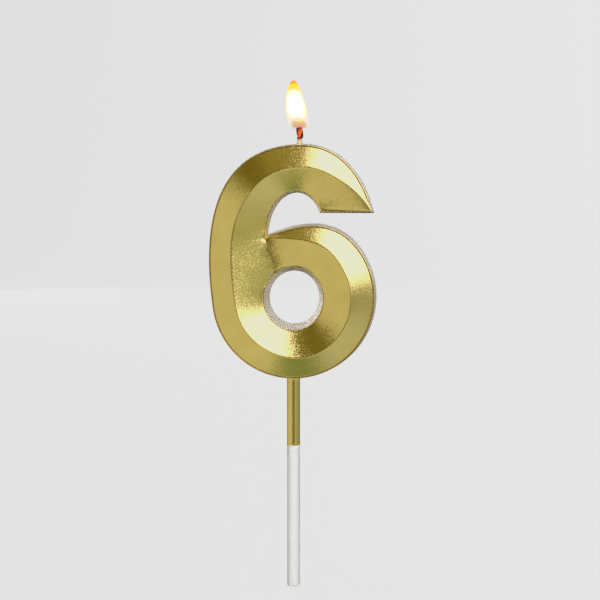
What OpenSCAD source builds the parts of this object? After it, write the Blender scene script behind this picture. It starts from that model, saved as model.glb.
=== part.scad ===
/* [Number] */
// Height of the number, without its stick and wick
number_h = 70; // [50:1:100]
// Depth of the side wall, from the flat back to the front edge
wall_t = 9; // [8:0.5:12]
// Rise of the crest for each millimetre that it lies in from the edge
crest_slope = 0.58; // [0.4:0.02:0.7]
// How far the back outline stands outside the front one
outer_draft = 0.8; // [0:0.1:1.5]
// How far the opening's walls lean in towards the back
opening_draft = 0.5; // [0:0.1:0.8]
// Thickness of the gold coat
coat_t = 0.2; // [0.18:0.01:0.3]

/* [Hole] */
// Half the width of the bowl's hole at the front
hole_rx = 8.9; // [8:0.1:10]
// Half the height of the bowl's hole at the front
hole_rz = 9.6; // [8.5:0.05:10.5]
// How much narrower the hole is at the back, on each side
hole_draft_x = 1.4; // [0:0.1:2]
// How much lower the hole is at the back, at the top and at the bottom
hole_draft_z = 1.6; // [0:0.05:2.2]

/* [Stick] */
// Diameter of the stick
stick_d = 3.9; // [3:0.1:5]
// Length of the stick below the number
stick_free = 64; // [45:1:90]
// Length of the stick inside the number
stick_set = 11; // [8:0.5:11.5]
// Length of the gold stretch below the number
gold_free = 20.5; // [8:0.5:30]
// Chamfer at the stick's lower end
tip_chamfer = 0.4; // [0.2:0.05:0.45]

/* [Wick] */
// Diameter of the wick with its wax
wick_d = 1.7; // [1.2:0.1:2.2]
// Height of the wick above the number
wick_out = 5.5; // [4:0.5:8]
// Thickness of the wax that primes the wick
prime_t = 0.1; // [0.06:0.02:0.14]
// Length over which the three yarns make one turn
yarn_pitch = 6; // [5:0.5:9]

/* [Hidden] */
$fn = 64;

k = number_h / 70;
base_z = stick_free;
edge_y = -3.5;
back_y = edge_y + wall_t;
stick_r = stick_d / 2;
core_r = stick_r - coat_t;
white_to = stick_free - gold_free;

// --- outline of the numeral 6, in the plane of its front edge ---------------------------------
// The origin is the foot of the number, x runs to the right and z up, for a number 70 high.
terminal = [23.5, 50.2];
top = [2.5, 70];
bowl = [0, 24.4];
bowl_r = 24.4;
hole_middle = [0.1, 24.1];
bowl_from = 188;
bowl_to = 390;
notch = [-8.4, 42.1];
terminal_corner = [8.2, 50.2];
opening_top = [0.8, 56.4];
crease_foot_angle = 125;

// Distance of the crest from the outline at stations along the stroke, four to a stretch.
crest_in = [0, 2.4, 5, 6.1, 6.4, 7.2, 7.7, 6.7, 7, 7.1, 6.2, 6.7, 6.9, 6.2, 4.9, 2.9, 0];

// Steps along the four stretches: the arm, the stem, the bowl and the shoulder.
arm_steps = 30;
stem_steps = 60;
bowl_steps = 60;
shoulder_steps = 40;
// Steps at which the inner edge turns: the terminal's corner, the crease's two ends, twice.
corner_at = 21;
notch_at = arm_steps + 46;
foot_at = arm_steps + 52;
foot_again = arm_steps + stem_steps + bowl_steps + 34;
last = arm_steps + stem_steps + bowl_steps + shoulder_steps;

function unit(a) = [cos(a), sin(a)];
function left_of(d) = [-d.y, d.x] / norm(d);
function lerp(a, b, t) = a + (b - a) * t;
function ease(t) = t * t * (3 - 2 * t);
function curve(c, t) = pow(1 - t, 3) * c[0] + 3 * pow(1 - t, 2) * t * c[1]
    + 3 * (1 - t) * t * t * c[2] + pow(t, 3) * c[3];
function slope(c, t) = 3 * (pow(1 - t, 2) * (c[1] - c[0]) + 2 * (1 - t) * t * (c[2] - c[1])
    + t * t * (c[3] - c[2]));
// A curve from a to b that leaves a along one handle and arrives at b along the other.
function handles(a, from_a, to_b, b) = [a, a + from_a, b + to_b, b];
// The move that takes a corner of two edges out by d1 and d2 along their unit normals.
function mitre(n1, d1, n2, d2) = [d1 * n2.y - d2 * n1.y, d2 * n1.x - d1 * n2.x]
    / (n1.x * n2.y - n1.y * n2.x);

arm = handles(terminal, [-2.4, 9.6], [12.2, 0], top);
stem = handles(top, [-18.5, 0], -37 * unit(bowl_from + 90), bowl + bowl_r * unit(bowl_from));
shoulder = handles(bowl + bowl_r * unit(bowl_to), 15 * unit(bowl_to + 90), [8.95, 4.3], notch);
opening_right = handles(terminal_corner, [-1.2, 3.6], [3.3, 0], opening_top);
opening_left = handles(opening_top, [-3.5, 0], [0.3, 10.5], notch);

stem_at = arm_steps;
bowl_at = stem_at + stem_steps;
shoulder_at = bowl_at + bowl_steps;

// The outline at step i, and its direction there.
function edge(i) =
    i < stem_at ? curve(arm, i / arm_steps)
    : i < bowl_at ? curve(stem, (i - stem_at) / stem_steps)
    : i < shoulder_at ? bowl + bowl_r * unit(lerp(bowl_from, bowl_to, (i - bowl_at) / bowl_steps))
    : curve(shoulder, (i - shoulder_at) / shoulder_steps);
function edge_dir(i) =
    i < stem_at ? slope(arm, i / arm_steps)
    : i < bowl_at ? slope(stem, (i - stem_at) / stem_steps)
    : i < shoulder_at ? unit(lerp(bowl_from, bowl_to, (i - bowl_at) / bowl_steps) + 90)
    : slope(shoulder, (i - shoulder_at) / shoulder_steps);

// How far in the crest lies at step i: a smooth run through the stations.
function station(i) =
    i < stem_at ? 4 * i / arm_steps
    : i < bowl_at ? 4 + 4 * (i - stem_at) / stem_steps
    : i < shoulder_at ? 8 + 4 * (i - bowl_at) / bowl_steps
    : 12 + 4 * (i - shoulder_at) / shoulder_steps;
function crest_at(j) = crest_in[max(0, min(16, j))];
function smooth(a, b, c, d, t) = b + t / 2 * (c - a + t * (2 * a - 5 * b + 4 * c - d
    + t * (3 * (b - c) + d - a)));
function crest_width(s) = let (j = min(15, floor(s)))
    smooth(crest_at(j - 1), crest_at(j), crest_at(j + 1), crest_at(j + 2), s - j);
function crest(i) = edge(i) + crest_width(station(i)) * left_of(edge_dir(i));

// The hole, at the front or with its draft taken off.
function hole(a, dx = 0, dz = 0) = hole_middle + [(hole_rx - dx) * cos(a), (hole_rz - dz) * sin(a)];
crease_foot = hole(crease_foot_angle);
// The angle round the hole that faces step i. Along the shoulder it lags behind, then catches up.
hole_lag = 1.8;
function shoulder_share(i) = (i - shoulder_at) / (foot_again - shoulder_at);
function hole_angle(i) =
    i < bowl_at ? lerp(crease_foot_angle, bowl_from, (i - foot_at) / (bowl_at - foot_at))
    : i < shoulder_at ? lerp(bowl_from, bowl_to, (i - bowl_at) / bowl_steps)
    : lerp(bowl_to, crease_foot_angle + 360, pow(shoulder_share(i), hole_lag));
// The inner edge at step i: the terminal, the opening, the crease, the hole and the crease again.
function inner(i) =
    i < corner_at ? lerp(terminal, terminal_corner, i / corner_at)
    : i < stem_at ? curve(opening_right, (i - corner_at) / (stem_at - corner_at))
    : i < notch_at ? curve(opening_left, (i - stem_at) / (notch_at - stem_at))
    : i < foot_at ? lerp(notch, crease_foot, (i - notch_at) / (foot_at - notch_at))
    : i < foot_again ? hole(hole_angle(i))
    : lerp(crease_foot, notch, (i - foot_again) / (last - foot_again));
function inner_dir(i) =
    i < corner_at ? [-1, 0]
    : i < stem_at ? slope(opening_right, (i - corner_at) / (stem_at - corner_at))
    : slope(opening_left, (i - stem_at) / (notch_at - stem_at));

// --- the back outline: every edge moved out by its draft ----------------------------------------
corner_steps = 8;
terminal_move = mitre(-left_of(arm[1] - arm[0]), outer_draft, [0, -1], opening_draft);
corner_move = mitre([0, -1], opening_draft, left_of(opening_right[1] - opening_right[0]), opening_draft);
notch_move = mitre(-left_of(shoulder[3] - shoulder[2]), outer_draft,
    left_of(opening_left[3] - opening_left[2]), opening_draft);
function near(i, at) = ease(max(0, 1 - abs(i - at) / corner_steps));
function edge_back(i) =
    let (square = lerp(-outer_draft * left_of(edge_dir(i)), terminal_move, near(i, 0)))
    k * edge(i) + lerp(square, notch_move, near(i, last));
function opening_move(i) =
    i < corner_at ? lerp(lerp([0, -opening_draft], terminal_move, near(i, 0)), corner_move,
        near(i, corner_at))
    : lerp(lerp(opening_draft * left_of(inner_dir(i)), corner_move, near(i, corner_at)),
        notch_move, near(i, notch_at));
foot_back = hole(crease_foot_angle, hole_draft_x, hole_draft_z);
function inner_back(i) =
    i <= notch_at ? k * inner(i) + opening_move(i)
    : i < foot_at ? lerp(k * notch + notch_move, k * foot_back, (i - notch_at) / (foot_at - notch_at))
    : i < foot_again ? k * hole(hole_angle(i), hole_draft_x, hole_draft_z)
    : lerp(k * foot_back, k * notch + notch_move, (i - foot_again) / (last - foot_again));

// --- closed skins: two layers of the same three lines, joined along their edges ------------------
function place(p, y) = [p.x, y, base_z + p.y];
// The layer of the front surface, whose edges lie at y.
function front_layer(y) = concat(
    [for (i = [0:last]) place(k * edge(i), y)],
    [for (i = [0:last]) place(k * crest(i), y - k * crest_slope * crest_width(station(i)))],
    [for (i = [0:last]) place(k * inner(i), y)]);
// The layer of the flat back.
function back_layer(y) = concat(
    [for (i = [0:last]) place(edge_back(i), y)],
    [for (i = [0:last]) place((edge_back(i) + inner_back(i)) / 2, y)],
    [for (i = [0:last]) place(inner_back(i), y)]);

// Numbers of the points of a layer. All three lines share the terminal's tip and the notch,
// and the crease's points serve both of its sides.
layer_size = 3 * (last + 1);
function edge_no(i) = i;
function crest_no(i) = i == 0 ? 0 : i == last ? last : last + 1 + i;
function inner_no(i) = i == 0 ? 0 : i == notch_at ? last
    : i >= foot_again ? inner_no(foot_at - (i - foot_again)) : 2 * (last + 1) + i;
function quad(a, b, c, d) = [for (f = [[a, b, c], [a, c, d]])
    if (f[0] != f[1] && f[1] != f[2] && f[2] != f[0]) f];
function layer_faces(from) = [for (i = [0:last - 1])
    for (f = concat(
        quad(edge_no(i), edge_no(i + 1), crest_no(i + 1), crest_no(i)),
        quad(crest_no(i), crest_no(i + 1), inner_no(i + 1), inner_no(i)))) f + from * [1, 1, 1]];
function turned(faces) = [for (f = faces) [f[2], f[1], f[0]]];
function rim(a, b) = quad(a, a + layer_size, b + layer_size, b);
function rims() = concat(
    [for (i = [0:last - 1]) for (f = rim(edge_no(i), edge_no(i + 1))) f],
    [for (i = [0:notch_at - 1]) for (f = rim(inner_no(i + 1), inner_no(i))) f],
    [for (i = [foot_at:foot_again - 1]) for (f = rim(inner_no(i + 1), inner_no(i))) f]);

module skin(front, back) {
    polyhedron(
        points = concat(front, back),
        faces = concat(turned(layer_faces(0)), layer_faces(layer_size), turned(rims())),
        convexity = 8);
}

// --- the wick's route, from its tip down through the middle of the stroke ------------------------
wick_tip = [1.9, 70 + wick_out / k];
wick_in = [1.9, 67.5];
wick_runs = [
    handles(wick_tip, [0, -2], [0, 2], wick_in),
    handles(wick_in, [0, -4], [4.5, 1.6], [-5.5, 61]),
    handles([-5.5, 61], [-6.5, -2.3], [0, 8], [-16.8, 44]),
    handles([-16.8, 44], [0, -9], [-3, 7.5], [-14.5, 17]),
    handles([-14.5, 17], [1.6, -4], [-3, 2], [-7, 8.5]),
];
wick_steps = [10, 12, 24, 31, 12];
wick_spots = concat(
    [for (r = [0:len(wick_runs) - 1]) for (j = [0:wick_steps[r] - 1]) [r, j / wick_steps[r]]],
    [[len(wick_runs) - 1, 1]]);
// The priming wax has burned off the first steps of the wick.
bare_steps = 5;
// Share of the wick's inner radius at which the yarns' middles lie.
yarn_ring_share = 0.53;
yarn_ring_r = (wick_d / 2 - prime_t) * yarn_ring_share;
// A yarn's radius as a share of that of the ring they lie on, so that no two of them meet.
yarn_share = 0.85;
yarn_r = yarn_ring_r * yarn_share;
yarn_sides = 6;
// Mean distance between two spots of the route, in outline units.
spot_run = 0.9;

// A ring of points round the route at spot s, about a centre set off from it towards an angle.
function wick_ring(s, r, sides, off = 0, towards = 0) =
    let (run = wick_runs[s[0]], p = k * curve(run, s[1]), n = left_of(slope(run, s[1])))
    [for (q = [0:sides - 1]) let (
        a = off * cos(towards) + r * cos(360 * q / sides),
        b = off * sin(towards) + r * sin(360 * q / sides))
        [p.x + a * n.x, b, base_z + p.y + a * n.y]];
// The sides of a tube of that many rings, and the two ends.
function tube_sides(rings, sides, from = 0) = [for (r = [0:rings - 2]) for (q = [0:sides - 1])
    let (a = from + r * sides, p = (q + 1) % sides)
    for (f = quad(a + q, a + p, a + sides + p, a + sides + q)) f];
function cap(sides, from) = [for (q = [1:sides - 2]) [from, from + q + 1, from + q]];

module wick_rod(first, r, sides, off = 0, start = 0) {
    spots = [for (i = [first:len(wick_spots) - 1]) i];
    step = 360 * spot_run * k / yarn_pitch;
    points = [for (i = spots) each wick_ring(wick_spots[i], r, sides, off, start - i * step)];
    count = len(spots);
    polyhedron(points = points, faces = concat(
        tube_sides(count, sides), cap(sides, 0), turned(cap(sides, (count - 1) * sides))));
}

module wick_tube(first, r_out, r_in, sides) {
    spots = [for (i = [first:len(wick_spots) - 1]) wick_spots[i]];
    count = len(spots);
    size = count * sides;
    ends = [for (e = [0, (count - 1) * sides]) for (q = [0:sides - 1]) let (p = (q + 1) % sides)
        for (f = quad(e + q, e + p, size + e + p, size + e + q)) e == 0 ? [f[2], f[1], f[0]] : f];
    polyhedron(
        points = concat([for (s = spots) each wick_ring(s, r_out, sides)],
            [for (s = spots) each wick_ring(s, r_in, sides)]),
        faces = concat(tube_sides(count, sides), turned(tube_sides(count, sides, size)), ends));
}

// --- the pieces ------------------------------------------------------------------------------------
wick_sides = 10;
// The coat on the stick ends short of the number's sloping underside.
underside_gap = 1;
// The socket is cut from this far below the number's foot.
socket_run_in = 5;

module wax_body() {
    color("ivory")
    difference() {
        skin(front_layer(edge_y + coat_t), back_layer(back_y));
        translate([0, 0, base_z - socket_run_in]) cylinder(r = core_r, h = stick_set + socket_run_in);
        wick_rod(bare_steps, wick_d / 2, wick_sides);
    }
}

module gold_face_coat() {
    color("goldenrod")
    skin(front_layer(edge_y), front_layer(edge_y + coat_t));
}

module stick() {
    color("white")
    rotate_extrude()
    polygon([
        [0, 0],
        [stick_r - tip_chamfer, 0],
        [stick_r, tip_chamfer],
        [stick_r, white_to],
        [core_r, white_to],
        [core_r, base_z + stick_set],
        [0, base_z + stick_set],
    ]);
}

module stick_gold_coat() {
    color("goldenrod")
    rotate_extrude()
    polygon([
        [core_r, white_to],
        [stick_r, white_to],
        [stick_r, base_z - underside_gap],
        [core_r, base_z - underside_gap],
    ]);
}

module wick_wax_coat() {
    color("cornsilk")
    wick_tube(bare_steps, wick_d / 2, wick_d / 2 - prime_t, wick_sides);
}

module wick_yarn(n) {
    color("tan")
    wick_rod(0, yarn_r, yarn_sides, yarn_ring_r, 120 * n);
}

module wick_yarn_1() { wick_yarn(1); }
module wick_yarn_2() { wick_yarn(2); }
module wick_yarn_3() { wick_yarn(3); }

wax_body();
gold_face_coat();
stick();
stick_gold_coat();
wick_wax_coat();
wick_yarn_1();
wick_yarn_2();
wick_yarn_3();
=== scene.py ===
import math

import bmesh
import bpy
import numpy as np
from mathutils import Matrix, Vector


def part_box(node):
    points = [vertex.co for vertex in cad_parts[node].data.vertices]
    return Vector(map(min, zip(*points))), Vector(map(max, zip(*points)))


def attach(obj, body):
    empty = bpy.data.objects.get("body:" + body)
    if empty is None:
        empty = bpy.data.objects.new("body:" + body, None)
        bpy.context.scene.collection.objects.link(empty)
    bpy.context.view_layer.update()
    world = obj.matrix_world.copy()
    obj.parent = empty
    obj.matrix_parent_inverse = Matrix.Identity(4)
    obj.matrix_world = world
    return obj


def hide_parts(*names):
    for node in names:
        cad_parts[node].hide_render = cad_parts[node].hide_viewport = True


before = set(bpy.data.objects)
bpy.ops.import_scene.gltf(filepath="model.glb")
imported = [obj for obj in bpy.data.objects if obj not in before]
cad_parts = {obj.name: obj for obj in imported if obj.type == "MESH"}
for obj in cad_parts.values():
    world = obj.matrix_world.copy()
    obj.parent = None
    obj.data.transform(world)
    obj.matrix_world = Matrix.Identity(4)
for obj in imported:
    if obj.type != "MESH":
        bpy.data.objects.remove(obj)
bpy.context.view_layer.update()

MM = 0.001

# ---------------------------------------------------------------- sizes, from the frame
coat_low, coat_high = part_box("gold_face_coat")
wax_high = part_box("wax_body")[1]
stick_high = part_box("stick")[1]
stick_coat_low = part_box("stick_gold_coat")[0]
wick_coat_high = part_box("wick_wax_coat")[1]
yarn_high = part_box("wick_yarn_1")[1]

NUMBER_H = coat_high.z - coat_low.z
K = NUMBER_H / 70                       # one unit of the outline in metres; the number is 70 units high
BASE_Z = coat_low.z
BACK_Y = wax_high.y
COAT_T = 0.2 * MM
EDGE_Y = coat_high.y - COAT_T
STICK_R = stick_high.x
WICK_R = 0.85 * MM

# ---------------------------------------------------------------- the numeral's outline
# The same curves as the CAD model's, in design units: x to the right, z up from the foot.
TERMINAL = np.array([23.5, 50.2])
TOP = np.array([2.5, 70.0])
BOWL = np.array([0.0, 24.4])
BOWL_R = 24.4
BOWL_FROM, BOWL_TO = 188.0, 390.0
NOTCH = np.array([-8.4, 42.1])
TERMINAL_CORNER = np.array([8.2, 50.2])
OPENING_TOP = np.array([0.8, 56.4])
HOLE_MIDDLE = np.array([0.1, 24.1])
HOLE_RX, HOLE_RZ = 8.9, 9.6
HOLE_LAG = 1.8                          # how late the hole's stations turn towards the crease
CREASE_FOOT_ANGLE = 125.0
CREST_SPANS = 4                         # widths listed for each of the outline's four parts
CREST_IN = [0, 2.4, 5, 6.1, 6.4, 7.2, 7.7, 6.7, 7, 7.1, 6.2, 6.7, 6.9, 6.2, 4.9, 2.9, 0]
CREST_SLOPE = 0.58
OUTER_DRAFT, OPENING_DRAFT = 0.8 * MM, 0.5 * MM
HOLE_DRAFT = np.array([1.4, 1.6])

ARM_STEPS, STEM_STEPS, BOWL_STEPS, SHOULDER_STEPS = 30, 60, 60, 40
STEM_AT = ARM_STEPS
BOWL_AT = STEM_AT + STEM_STEPS
SHOULDER_AT = BOWL_AT + BOWL_STEPS
LAST = SHOULDER_AT + SHOULDER_STEPS
PARTS = [(0, STEM_AT), (STEM_AT, BOWL_AT), (BOWL_AT, SHOULDER_AT), (SHOULDER_AT, LAST)]
CORNER_AT = 21
NOTCH_AT = STEM_AT + 46
FOOT_AT = STEM_AT + 52
FOOT_AGAIN = SHOULDER_AT + 34
CORNER_STEPS = 8                        # steps over which a corner's draft blends in
ARMS_PART_AT = 120                      # where the crest's stem and shoulder arms part, at the bowl's foot
FINER = 3                               # stations to one CAD step


def unit(angle):
    """The direction at an angle in degrees."""
    return np.array([math.cos(math.radians(angle)), math.sin(math.radians(angle))])


def left_of(d):
    """The unit direction a quarter turn to the left of d."""
    return np.array([-d[1], d[0]]) / math.hypot(*d)


def lerp(a, b, t):
    return a + (b - a) * t


def ease(t):
    return t * t * (3 - 2 * t)


def curve(c, t):
    u = 1 - t
    return u ** 3 * c[0] + 3 * u * u * t * c[1] + 3 * u * t * t * c[2] + t ** 3 * c[3]


def slope(c, t):
    u = 1 - t
    return 3 * (u * u * (c[1] - c[0]) + 2 * u * t * (c[2] - c[1]) + t * t * (c[3] - c[2]))


def handles(a, from_a, to_b, b):
    return [np.array(a, float), np.add(a, from_a), np.add(b, to_b), np.array(b, float)]


def mitre(n1, d1, n2, d2):
    """How far a corner moves when its two lines move by d1 and d2 along their normals."""
    cross = n1[0] * n2[1] - n1[1] * n2[0]
    return np.array([d1 * n2[1] - d2 * n1[1], d2 * n1[0] - d1 * n2[0]]) / cross


ARM = handles(TERMINAL, [-2.4, 9.6], [12.2, 0], TOP)
STEM = handles(TOP, [-18.5, 0], -37 * unit(BOWL_FROM + 90), BOWL + BOWL_R * unit(BOWL_FROM))
SHOULDER = handles(BOWL + BOWL_R * unit(BOWL_TO), 15 * unit(BOWL_TO + 90), [8.95, 4.3], NOTCH)
OPENING_RIGHT = handles(TERMINAL_CORNER, [-1.2, 3.6], [3.3, 0], OPENING_TOP)
OPENING_LEFT = handles(OPENING_TOP, [-3.5, 0], [0.3, 10.5], NOTCH)


def edge(i):
    """The outline at station i."""
    if i < STEM_AT:
        return curve(ARM, i / ARM_STEPS)
    if i < BOWL_AT:
        return curve(STEM, (i - STEM_AT) / STEM_STEPS)
    if i < SHOULDER_AT:
        return BOWL + BOWL_R * unit(lerp(BOWL_FROM, BOWL_TO, (i - BOWL_AT) / BOWL_STEPS))
    return curve(SHOULDER, (i - SHOULDER_AT) / SHOULDER_STEPS)


def edge_dir(i):
    """The outline's direction at station i."""
    if i < STEM_AT:
        return slope(ARM, i / ARM_STEPS)
    if i < BOWL_AT:
        return slope(STEM, (i - STEM_AT) / STEM_STEPS)
    if i < SHOULDER_AT:
        return unit(lerp(BOWL_FROM, BOWL_TO, (i - BOWL_AT) / BOWL_STEPS) + 90)
    return slope(SHOULDER, (i - SHOULDER_AT) / SHOULDER_STEPS)


def crest_width(i):
    """How far in from the outline the crest lies, smoothly through the widths in CREST_IN."""
    part = sum(i >= end for _, end in PARTS[:-1])
    first, end = PARTS[part]
    along = CREST_SPANS * (part + (i - first) / (end - first))
    final = len(CREST_IN) - 1
    j = min(final - 1, int(along))
    a, b, c, d = (CREST_IN[max(0, min(final, j + n))] for n in (-1, 0, 1, 2))
    t = along - j
    return b + t / 2 * (c - a + t * (2 * a - 5 * b + 4 * c - d + t * (3 * (b - c) + d - a)))


def crest(i):
    return edge(i) + crest_width(i) * left_of(edge_dir(i))


def hole(angle, drafts=(0, 0)):
    """A point of the bowl's hole, drawn in by the drafts."""
    reach = np.array([HOLE_RX, HOLE_RZ]) - np.array(drafts)
    return HOLE_MIDDLE + reach * unit(angle)


def hole_angle(i):
    """The angle at which station i meets the hole."""
    if i < BOWL_AT:
        return lerp(CREASE_FOOT_ANGLE, BOWL_FROM, (i - FOOT_AT) / (BOWL_AT - FOOT_AT))
    if i < SHOULDER_AT:
        return lerp(BOWL_FROM, BOWL_TO, (i - BOWL_AT) / BOWL_STEPS)
    t = (i - SHOULDER_AT) / (FOOT_AGAIN - SHOULDER_AT)
    return lerp(BOWL_TO, CREASE_FOOT_ANGLE + 360, t ** HOLE_LAG)


def inner(i):
    """The inner edge: the terminal, the opening, the crease, the hole and the crease again."""
    if i < CORNER_AT:
        return lerp(TERMINAL, TERMINAL_CORNER, i / CORNER_AT)
    if i < STEM_AT:
        return curve(OPENING_RIGHT, (i - CORNER_AT) / (STEM_AT - CORNER_AT))
    if i < NOTCH_AT:
        return curve(OPENING_LEFT, (i - STEM_AT) / (NOTCH_AT - STEM_AT))
    if i < FOOT_AT:
        return lerp(NOTCH, hole(CREASE_FOOT_ANGLE), (i - NOTCH_AT) / (FOOT_AT - NOTCH_AT))
    if i < FOOT_AGAIN:
        return hole(hole_angle(i))
    return lerp(hole(CREASE_FOOT_ANGLE), NOTCH, (i - FOOT_AGAIN) / (LAST - FOOT_AGAIN))


def opening_dir(i):
    """The direction of the opening's edge at station i."""
    if i < CORNER_AT:
        return np.array([-1.0, 0.0])
    if i < STEM_AT:
        return slope(OPENING_RIGHT, (i - CORNER_AT) / (STEM_AT - CORNER_AT))
    return slope(OPENING_LEFT, (i - STEM_AT) / (NOTCH_AT - STEM_AT))


TERMINAL_MOVE = mitre(-left_of(ARM[1] - ARM[0]), OUTER_DRAFT, [0, -1], OPENING_DRAFT)
CORNER_MOVE = mitre([0, -1], OPENING_DRAFT, left_of(OPENING_RIGHT[1] - OPENING_RIGHT[0]), OPENING_DRAFT)
NOTCH_MOVE = mitre(-left_of(SHOULDER[3] - SHOULDER[2]), OUTER_DRAFT,
                   left_of(OPENING_LEFT[3] - OPENING_LEFT[2]), OPENING_DRAFT)


def near(i, at):
    """1 at a corner, fading to 0 a few steps away."""
    return ease(max(0.0, 1 - abs(i - at) / CORNER_STEPS))


def edge_back(i):
    """The back outline in metres, with the mould's draft."""
    move = lerp(-OUTER_DRAFT * left_of(edge_dir(i)), TERMINAL_MOVE, near(i, 0))
    return K * edge(i) + lerp(move, NOTCH_MOVE, near(i, LAST))


def inner_back(i):
    """The back's inner edge in metres, with the mould's draft."""
    foot = K * hole(CREASE_FOOT_ANGLE, HOLE_DRAFT)
    notch = K * NOTCH + NOTCH_MOVE
    if i <= NOTCH_AT:
        if i < CORNER_AT:
            move = lerp(np.array([0, -OPENING_DRAFT]), TERMINAL_MOVE, near(i, 0))
            move = lerp(move, CORNER_MOVE, near(i, CORNER_AT))
        else:
            move = OPENING_DRAFT * left_of(opening_dir(i))
            move = lerp(move, CORNER_MOVE, near(i, CORNER_AT))
            move = lerp(move, NOTCH_MOVE, near(i, NOTCH_AT))
        return K * inner(i) + move
    if i < FOOT_AT:
        return lerp(notch, foot, (i - NOTCH_AT) / (FOOT_AT - NOTCH_AT))
    if i < FOOT_AGAIN:
        return K * hole(hole_angle(i), HOLE_DRAFT)
    return lerp(foot, notch, (i - FOOT_AGAIN) / (LAST - FOOT_AGAIN))


def place(p, y):
    """A plan point in metres, at depth y, as a point of the frame."""
    return np.array([p[0], y, BASE_Z + p[1]])


def has_wall(i):
    """Whether the inner edge at station i is an open edge, not the crease."""
    return i <= NOTCH_AT or FOOT_AT <= i <= FOOT_AGAIN


STATIONS = [i / FINER for i in range(LAST * FINER + 1)]
ROWS = len(STATIONS)


# ---------------------------------------------------------------- mesh helpers
SAME = 0.002 * MM


def straight(a, b, shares):
    return [lerp(a, b, t) for t in shares]


def rounded(before, corner, after, reach, count):
    """A corner rounded off over reach on each side, or less where a side is short."""
    back, ahead = before - corner, after - corner
    lb, la = np.linalg.norm(back), np.linalg.norm(ahead)
    a = corner + back * (min(reach, 0.45 * lb) / lb if lb > 1e-9 else 0)
    b = corner + ahead * (min(reach, 0.45 * la) / la if la > 1e-9 else 0)
    ts = [n / count for n in range(count + 1)]
    return [(1 - t) ** 2 * a + 2 * t * (1 - t) * corner + t * t * b for t in ts]


def grid_faces(rows, cols, skip=lambda r, c: False, flip=False, start=0):
    faces = []
    for r in range(rows - 1):
        for c in range(cols - 1):
            if skip(r, c):
                continue
            a = start + r * cols + c
            f = (a, a + cols, a + cols + 1, a + 1)
            faces.append(f[::-1] if flip else f)
    return faces


def swept(rings, sides):
    """Points and faces of a rod through rings of points, with both ends closed."""
    points = [p for ring in rings for p in ring]
    faces = []
    for r in range(len(rings) - 1):
        for q in range(sides):
            a, b = r * sides + q, r * sides + (q + 1) % sides
            faces.append((a, b, b + sides, a + sides))
    faces.append(tuple(range(sides))[::-1])
    faces.append(tuple((len(rings) - 1) * sides + q for q in range(sides)))
    return points, faces


def mesh_piece(name, points, faces):
    """A smooth-shaded object from points and faces; points closer than SAME become one."""
    mesh = bpy.data.meshes.new(name)
    mesh.from_pydata([tuple(p) for p in points], [], faces)
    bm = bmesh.new()
    bm.from_mesh(mesh)
    bmesh.ops.remove_doubles(bm, verts=bm.verts, dist=SAME)
    bmesh.ops.dissolve_degenerate(bm, edges=bm.edges, dist=SAME)
    loose = [v for v in bm.verts if not v.link_faces]
    bmesh.ops.delete(bm, geom=loose, context="VERTS")
    bmesh.ops.recalc_face_normals(bm, faces=bm.faces)
    bm.to_mesh(mesh)
    bm.free()
    for p in mesh.polygons:
        p.use_smooth = True
    piece = bpy.data.objects.new(name, mesh)
    bpy.context.scene.collection.objects.link(piece)
    return piece


def finish_piece(piece, material, slot, *nodes):
    """Gives a piece its material, and puts it in place of the CAD nodes named; slot is not used."""
    piece.data.materials.clear()
    piece.data.materials.append(material)
    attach(piece, "root")
    if nodes:
        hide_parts(*nodes)


# ---------------------------------------------------------------- node helpers
def new_material(name):
    """An empty node material, with its nodes and links."""
    m = bpy.data.materials.new(name)
    m.use_nodes = True
    m.node_tree.nodes.clear()
    return m, m.node_tree.nodes, m.node_tree.links


def add(nodes, kind, **props):
    n = nodes.new(kind)
    for key, value in props.items():
        setattr(n, key, value)
    return n


def grey(v):
    return (v, v, v)


def ramp(nodes, stops):
    """A colour ramp through (position, colour) stops."""
    n = add(nodes, "ShaderNodeValToRGB")
    while len(n.color_ramp.elements) > 1:
        n.color_ramp.elements.remove(n.color_ramp.elements[0])
    n.color_ramp.elements[0].position = stops[0][0]
    n.color_ramp.elements[0].color = (*stops[0][1], 1)
    for at, colour in stops[1:]:
        n.color_ramp.elements.new(at).color = (*colour, 1)
    return n


def noise(nodes, links, coords, scale, detail, rough):
    n = add(nodes, "ShaderNodeTexNoise")
    n.inputs["Scale"].default_value = scale
    n.inputs["Detail"].default_value = detail
    n.inputs["Roughness"].default_value = rough
    links.new(coords, n.inputs["Vector"])
    return n


def principled(name):
    """A material with a Principled shader on its output, and object coordinates for its noises."""
    m, nodes, links = new_material(name)
    shader = add(nodes, "ShaderNodeBsdfPrincipled")
    links.new(shader.outputs["BSDF"], add(nodes, "ShaderNodeOutputMaterial").inputs["Surface"])
    coords = add(nodes, "ShaderNodeTexCoord").outputs["Object"]
    return m, nodes, links, shader, coords


def tinted(nodes, links, shader, amount, stops):
    """The shader's base colour from a ramp of stops along amount."""
    tint = ramp(nodes, stops)
    links.new(amount, tint.inputs["Fac"])
    links.new(tint.outputs["Color"], shader.inputs["Base Color"])


def bumped(nodes, links, shader, height, strength, distance):
    bump = add(nodes, "ShaderNodeBump")
    bump.inputs["Strength"].default_value = strength
    bump.inputs["Distance"].default_value = distance
    links.new(height, bump.inputs["Height"])
    links.new(bump.outputs["Normal"], shader.inputs["Normal"])


def subsurface(shader, weight, radius):
    shader.inputs["Subsurface Weight"].default_value = weight
    shader.inputs["Subsurface Radius"].default_value = radius
    shader.inputs["Subsurface Scale"].default_value = 1.0


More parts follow.
